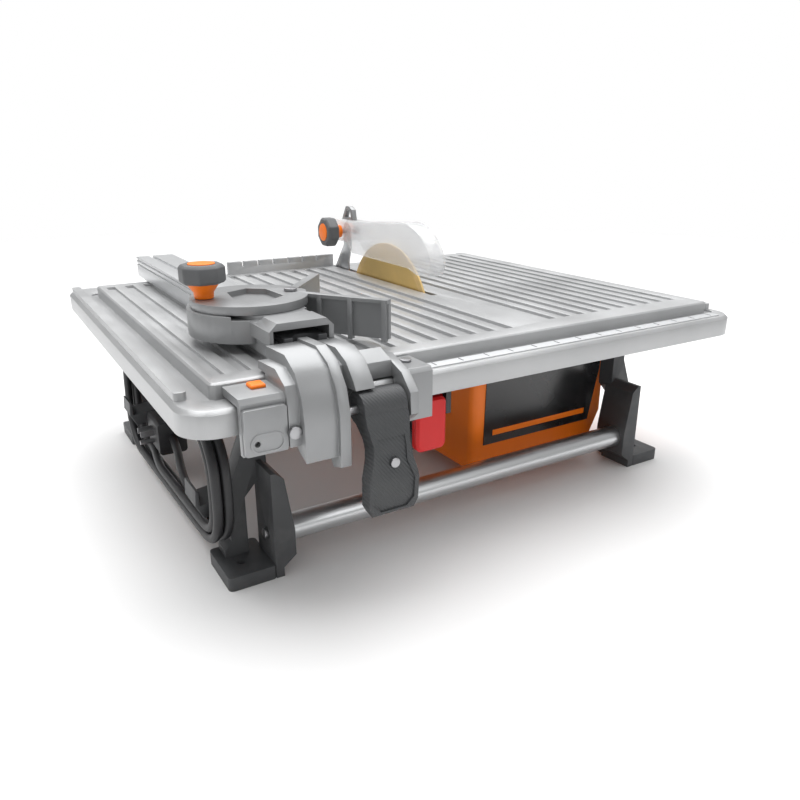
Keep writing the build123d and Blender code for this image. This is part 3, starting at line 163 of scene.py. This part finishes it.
def ruler_finish(name):
    """A brushed strip whose raised marks are dark."""
    n = finish(name, (0.62, 0.63, 0.64), rough=0.34, metal=0.7, grain=600.0, stretch=(0.04, 1, 1))
    split = n.add("ShaderNodeSeparateXYZ")
    n.link(n.place(), split.inputs["Vector"])
    mark = n.add("ShaderNodeMath", operation="GREATER_THAN")
    mark.inputs[1].default_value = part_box("front_scale")[1].z - 0.1 * MM
    n.link(split.outputs["Z"], mark.inputs[0])
    source = n.shader.inputs["Base Color"].links[0].from_socket
    n.link(n.blend(mark.outputs[0], source, (0.05, 0.05, 0.055)), n.shader.inputs["Base Color"])
    return n


def blade_finish(name, colour, rough):
    """Gold-toned steel with the fine rings that grinding leaves about the arbor."""
    n = finish(name, colour, rough=rough, metal=0.75, vary=0.16, grain=1500.0, depth=0.1)
    centre = JOINT["arbor_spin"]["pos_m"]
    rings = n.add("ShaderNodeTexWave", wave_type="RINGS", rings_direction="X")
    rings.inputs["Scale"].default_value = 420.0
    rings.inputs["Distortion"].default_value = 1.5
    n.link(n.place(move=tuple(-value for value in centre)), rings.inputs["Vector"])
    below = n.shader.inputs["Normal"].links[0].from_socket
    n.link(n.bump(rings.outputs["Fac"], 0.25, 0.0002, below), n.shader.inputs["Normal"])
    return n


def hatched_finish(name, colour):
    """Charcoal plastic with the fine diagonal hatching that gives a grip."""
    n = finish(name, colour, rough=0.5, vary=0.14, grain=1400.0)
    below = n.shader.inputs["Normal"].links[0].from_socket
    hatch = n.add("ShaderNodeTexWave", wave_type="BANDS", bands_direction="X")
    hatch.inputs["Scale"].default_value = 150.0
    n.link(n.place(turn=(0, radians(38), 0)), hatch.inputs["Vector"])
    n.link(n.bump(hatch.outputs["Fac"], 0.5, 0.0006, below), n.shader.inputs["Normal"])
    return n


def clear_finish(name):
    """Clear polycarbonate, a little hazy, with scuffs."""
    n = Nodes(name)
    haze = n.noise(60.0)
    tint = n.blend(n.spread(haze, 0.0, 1.0), (0.90, 0.91, 0.92), (0.97, 0.975, 0.98))
    n.link(tint, n.shader.inputs["Base Color"])
    n.link(n.spread(n.noise(160.0, (1, 0.2, 1)), 0.10, 0.22), n.shader.inputs["Roughness"])
    n.link(n.bump(n.noise(700.0), 0.05, 0.0003), n.shader.inputs["Normal"])
    n.shader.inputs["Transmission Weight"].default_value = 0.5
    n.shader.inputs["IOR"].default_value = 1.3
    n.shader.inputs["Alpha"].default_value = 0.42
    return n


def make_materials():
    """One finish for each of the record's material slots."""
    made = {
        "table_cast": finish("table_cast", (0.44, 0.445, 0.45),
                             rough=0.36, metal=0.55, vary=0.07, grain=1300.0),
        "scale": ruler_finish("scale"),
        "frame_grey": finish("frame_grey", (0.055, 0.057, 0.06),
                             rough=0.5, vary=0.2, dust=(0.16, 0.16, 0.16)),
        "tube_steel": finish("tube_steel", (0.60, 0.61, 0.62), 0.30, 1.0, 0.1, 500.0, stretch=(0.05, 1, 1)),
        "zinc_screw": finish("zinc_screw", (0.38, 0.38, 0.39), 0.30, 1.0, 0.1, 1800.0),
        "orange_plastic": finish("orange_plastic", (1.0, 0.20, 0.002), 0.42, 0.0, 0.05, 1100.0, 0.1),
        "black_plastic": finish("black_plastic", (0.022, 0.022, 0.024),
                                0.45, vary=0.25, dust=(0.08, 0.08, 0.08)),
        "label_black": finish("label_black", (0.012, 0.012, 0.013), 0.25, vary=0.3, coat=0.5),
        "motor_steel": finish("motor_steel", (0.25, 0.25, 0.26), 0.5, 0.8, 0.15, 400.0, stretch=(8, 1, 1)),
        "copper": finish("copper", (0.70, 0.30, 0.15), 0.35, 0.9, 0.2, 500.0, 0.4, stretch=(0.2, 1, 1)),
        "bearing_steel": finish("bearing_steel", (0.60, 0.60, 0.61), 0.25, 1.0, 0.08),
        "blade_steel": blade_finish("blade_steel", (0.70, 0.49, 0.18), 0.34),
        "diamond_rim": finish("diamond_rim", (0.70, 0.50, 0.22), 0.5, 0.6, 0.3, 2200.0, 0.6),
        "clear_guard": clear_finish("clear_guard"),
        "light_cast": finish("light_cast", (0.30, 0.305, 0.31), 0.38, 0.55, 0.08, 1300.0),
        "extrusion": finish("extrusion", (0.66, 0.67, 0.68), 0.32, 0.8, 0.06, 500.0, stretch=(1, 0.03, 1)),
        "lever_plastic": hatched_finish("lever_plastic", (0.05, 0.052, 0.055)),
        "red_plastic": finish("red_plastic", (0.68, 0.002, 0.003), 0.42, 0.0, 0.06, 1100.0, 0.1),
        "knob_grey": finish("knob_grey", (0.10, 0.103, 0.107), 0.5, vary=0.15, dust=(0.2, 0.2, 0.2)),
        "cord_rubber": finish("cord_rubber", (0.018, 0.018, 0.02), 0.42, vary=0.3, dust=(0.06, 0.06, 0.06)),
        "rubber": finish("rubber", (0.03, 0.03, 0.032), 0.6, vary=0.25),
    }
    return {slot: nodes.material for slot, nodes in made.items()}


# ---- Making pieces ------------------------------------------------------------------------------
def add_object(name, data, node, slot=None):
    """Link a new piece that stands for a CAD node, with the finish of the node's material slot unless another slot
    is given.
    """
    piece = bpy.data.objects.new(name, data)
    bpy.context.scene.collection.objects.link(piece)
    slot = slot or SLOT_OF[node]
    data.materials.append(MATERIALS[slot])
    return piece


def soften(piece, width, angle=33.0, segments=3):
    """Round the piece's hard edges, keeping its flat faces flat."""
    bevel = piece.modifiers.new("edges", "BEVEL")
    bevel.width = width
    bevel.segments = segments
    bevel.limit_method = "ANGLE"
    bevel.angle_limit = radians(angle)
    bevel.harden_normals = True
    bevel.miter_outer = "MITER_ARC"


WITH_HOLES = ["table_top", "blade_housing"]


def refined(node, width, angle=33.0):
    """A welded copy of a CAD node's mesh with its edges rounded, which stands for the node."""
    mesh = NODES[node].data.copy()
    mesh.name = f"{node}_fine"
    mesh.materials.clear()
    shape = bmesh.new()
    shape.from_mesh(mesh)
    bmesh.ops.remove_doubles(shape, verts=shape.verts, dist=0.002 * MM)
    if node not in WITH_HOLES:
        bmesh.ops.dissolve_limit(shape, angle_limit=radians(0.5), verts=shape.verts, edges=shape.edges)
    for face in shape.faces:
        face.smooth = True
    clean = bpy.data.meshes.new(f"{node}_fine")
    shape.to_mesh(clean)
    shape.free()
    bpy.data.meshes.remove(mesh)
    piece = add_object(f"{node}_fine", clean, node)
    soften(piece, width, angle)
    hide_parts(node)
    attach(piece, BODY_OF[node])
    return piece


# ---- The cord -----------------------------------------------------------------------------------
CORD_D = 8 * MM
TURNS = 4
LEAD = [(-4, 4, 128), (-52, 4, 128), (-104, 1, 119), (-158, -1, 120), (-206, -16, 125.5),
        (-232, -46, 131.5)]
TAIL = [(-239, -98, 33), (-240, -66, 37), (-236, -34, 42), (-230.5, -5, 48.5), (-228, 20, 50)]
LOOP_FRONT, LOOP_REAR = -194.0, 131.0
LOOP_TOP, LOOP_LOW_FRONT, LOOP_LOW_REAR, LOOP_R = 136.0, 27.0, 10.0, 46.0
NEAR_X, FAR_X = -238.8, -247.2
OUTER, INNER = 4.3, 12.7
LANES = [(NEAR_X, OUTER), (FAR_X, OUTER), (FAR_X, INNER), (NEAR_X, INNER), (NEAR_X, INNER)]
BOTTOM_YS, TOP_YS = (-128.0, -80.0, -35.0, 5.0), (15.0, -30.0, -75.0, -115.0)
BOTTOM_REAR_Y, TOP_REAR_Y = 62.0, 70.0


def loop_corners(inset):
    """The loop's four corners as (Y, Z), in the order the cord meets them, from the top run forwards."""
    return [(LOOP_FRONT + inset, LOOP_TOP - inset), (LOOP_FRONT + inset, LOOP_LOW_FRONT + inset),
            (LOOP_REAR - inset, LOOP_LOW_REAR + inset), (LOOP_REAR - inset, LOOP_TOP - inset)]


def bend(index, inset, steps=4):
    """Points round one corner of the loop, just outside the arc that they carry the cord along."""
    corners = [Vector(c) for c in loop_corners(inset)]
    corner = corners[index]
    back = (corners[index - 1] - corner).normalized()
    ahead = (corners[(index + 1) % 4] - corner).normalized()
    half = back.angle(ahead) / 2
    radius = LOOP_R - inset
    centre = corner + (back + ahead).normalized() * radius / sin(half)
    start = corner + back * radius / tan(half) - centre
    sweep = pi - 2 * half
    sense = 1 if start.x * (corner - centre).y - start.y * (corner - centre).x > 0 else -1
    reach = 1 / cos(sweep / (2 * steps))
    points = []
    for i in range(steps):
        angle = atan2(start.y, start.x) + sense * sweep * (i + 0.5) / steps
        points.append((centre.x + reach * radius * cos(angle), centre.y + reach * radius * sin(angle)))
    return points


def run_height(y, inset):
    """Height of the sloping bottom run at y."""
    share = (y - LOOP_FRONT) / (LOOP_REAR - LOOP_FRONT)
    return LOOP_LOW_FRONT + share * (LOOP_LOW_REAR - LOOP_LOW_FRONT) + inset


def coil_points():
    """The turns round the hooks, each in its own lane; lanes change one after the other at the rear."""
    points = []
    for turn in range(TURNS):
        x, inset = LANES[turn]
        next_x, next_inset = LANES[turn + 1]
        points += [(x, y, z) for y, z in bend(0, inset) + bend(1, inset)]
        if turn == TURNS - 1:
            points.append((x, BOTTOM_YS[0], run_height(BOTTOM_YS[0], inset)))
            return points
        rear = (next_x, next_inset) if turn == 2 else (x, inset)
        points += [(x, y, run_height(y, inset)) for y in BOTTOM_YS]
        points.append((rear[0], BOTTOM_REAR_Y, run_height(BOTTOM_REAR_Y, inset)))
        points += [(rear[0], y, z) for y, z in bend(2, inset)]
        top_inset = next_inset if turn == 1 else inset
        points += [(rear[0], y, z) for y, z in bend(3, top_inset)]
        points.append((rear[0], TOP_REAR_Y, LOOP_TOP - top_inset))
        points += [(next_x, y, LOOP_TOP - next_inset) for y in TOP_YS]
    return points


def make_cord():
    """The mains lead: one spline from the housing, four turns round the hooks, to the plug block."""
    join = [(NEAR_X, -78.0, LOOP_TOP - OUTER), (NEAR_X, -115.0, LOOP_TOP - OUTER)]
    route = LEAD + join + coil_points() + TAIL
    curve = bpy.data.curves.new("cord", "CURVE")
    curve.dimensions = "3D"
    curve.resolution_u = 6
    curve.bevel_depth = CORD_D / 2
    curve.bevel_resolution = 5
    spline = curve.splines.new("NURBS")
    spline.points.add(len(route) - 1)
    for point, place in zip(spline.points, route):
        point.co = (place[0] * MM, place[1] * MM, place[2] * MM, 1.0)
    spline.order_u = 3
    spline.use_endpoint_u = True
    cord = add_object("cord", curve, "cord_lead")
    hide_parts("cord_lead", "cord_coil", "cord_tail")
    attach(cord, "frame")
    return cord


# ---- Stage --------------------------------------------------------------------------------------
FLOOR_HALF, FADE_START, FADE_END = 4.0, 0.9, 2.4
SKY_HORIZON, SKY_TOP, SKY_TOP_HEIGHT = 0.36, 0.70, 0.9
LIGHTS = [("overhead", (0.2, 0.7, 3.0), 4.5, 205.0), ("left", (-1.9, 0.0, 1.0), 0.8, 3.0),
          ("front", (0.5, -1.9, 1.0), 0.8, 3.0)]


def make_sky():
    """A studio's sky: bright overhead, darker to the horizon, with a plain white backdrop."""
    world = bpy.data.worlds.new("world")
    world.use_nodes = True
    tree = world.node_tree
    background = tree.nodes["Background"]
    coordinates = tree.nodes.new("ShaderNodeTexCoord")
    split = tree.nodes.new("ShaderNodeSeparateXYZ")
    height = tree.nodes.new("ShaderNodeMapRange")
    for socket, value in [("From Min", 0.0), ("From Max", SKY_TOP_HEIGHT), ("To Min", SKY_HORIZON),
                          ("To Max", SKY_TOP)]:
        height.inputs[socket].default_value = value
    path = tree.nodes.new("ShaderNodeLightPath")
    backdrop = tree.nodes.new("ShaderNodeMix")
    backdrop.inputs["B"].default_value = 1.0
    tree.links.new(coordinates.outputs["Generated"], split.inputs["Vector"])
    tree.links.new(split.outputs["Z"], height.inputs["Value"])
    tree.links.new(path.outputs["Is Camera Ray"], backdrop.inputs["Factor"])
    tree.links.new(height.outputs["Result"], backdrop.inputs["A"])
    tree.links.new(backdrop.outputs["Result"], background.inputs["Strength"])
    background.inputs["Color"].default_value = (1.0, 1.0, 1.0, 1.0)
    bpy.context.scene.world = world


def make_stage():
    """A plain pale floor that fades out with distance, a pale sky and soft lights."""
    half = FLOOR_HALF
    mesh = bpy.data.meshes.new("floor")
    corners = [(-half, -half, 0), (half, -half, 0), (half, half, 0), (-half, half, 0)]
    mesh.from_pydata(corners, [], [(0, 1, 2, 3)])
    floor = bpy.data.objects.new("floor", mesh)
    bpy.context.scene.collection.objects.link(floor)
    n = Nodes("floor")
    n.link(n.blend(n.spread(n.noise(3.0), 0.0, 1.0), (0.76, 0.76, 0.76), (0.79, 0.79, 0.79)),
           n.shader.inputs["Base Color"])
    n.shader.inputs["Roughness"].default_value = 0.9
    reach = n.add("ShaderNodeVectorMath", operation="LENGTH")
    n.link(n.place(), reach.inputs[0])
    fade = n.add("ShaderNodeMapRange")
    for socket, value in [("From Min", FADE_START), ("From Max", FADE_END), ("To Min", 1.0), ("To Max", 0.0)]:
        fade.inputs[socket].default_value = value
    n.link(reach.outputs["Value"], fade.inputs["Value"])
    n.link(fade.outputs["Result"], n.shader.inputs["Alpha"])
    mesh.materials.append(n.material)
    make_sky()
    bpy.context.scene.view_settings.view_transform = "Standard"
    for name, place, size, power in LIGHTS:
        data = bpy.data.lights.new(name, "AREA")
        data.size = size
        data.energy = power
        lamp = bpy.data.objects.new(name, data)
        lamp.location = place
        lamp.rotation_euler = (Vector((0, 0, 0.1)) - Vector(place)).to_track_quat("-Z", "Y").to_euler()
        bpy.context.scene.collection.objects.link(lamp)


# ---- Build --------------------------------------------------------------------------------------
make_camera()
MATERIALS = make_materials()
cord = make_cord()
make_stage()

for name, node in NODES.items():
    node.data.materials.clear()
    node.data.materials.append(MATERIALS[SLOT_OF[name]])

EDGES = {
    "table_top": 0.6, "left_side_frame": 1.2, "right_side_frame": 1.2, "cord_hook_front": 0.8,
    "cord_hook_rear": 0.8, "cord_plug": 0.6, "blade_housing": 0.8, "label_plate": 0.3, "label_stripe": 0.2,
    "switch_box": 0.6, "switch_paddle": 0.8, "switch_button": 0.5, "fence_bar": 0.4, "fence_head": 1.4,
    "fence_front_plate": 0.4, "fence_window": 0.4, "fence_tongue": 0.5, "lock_lever": 1.6, "lever_screw": 0.3,
    "fence_screws": 0.4, "miter_base": 0.8, "miter_head": 0.8, "miter_pivot": 0.4, "miter_knob_grip": 0.6,
    "miter_knob_cap": 0.2, "miter_knob_neck": 0.5, "guard_knob_grip": 0.6, "guard_knob_cap": 0.2,
    "guard_knob_neck": 0.5, "blade_guard": 0.8, "guard_loop": 0.6, "riving_knife": 0.3, "guard_pin": 0.4,
    "tube_bolts": 0.4, "drain_plug": 0.6,
}
fine = {node: refined(node, width * MM) for node, width in EDGES.items()}
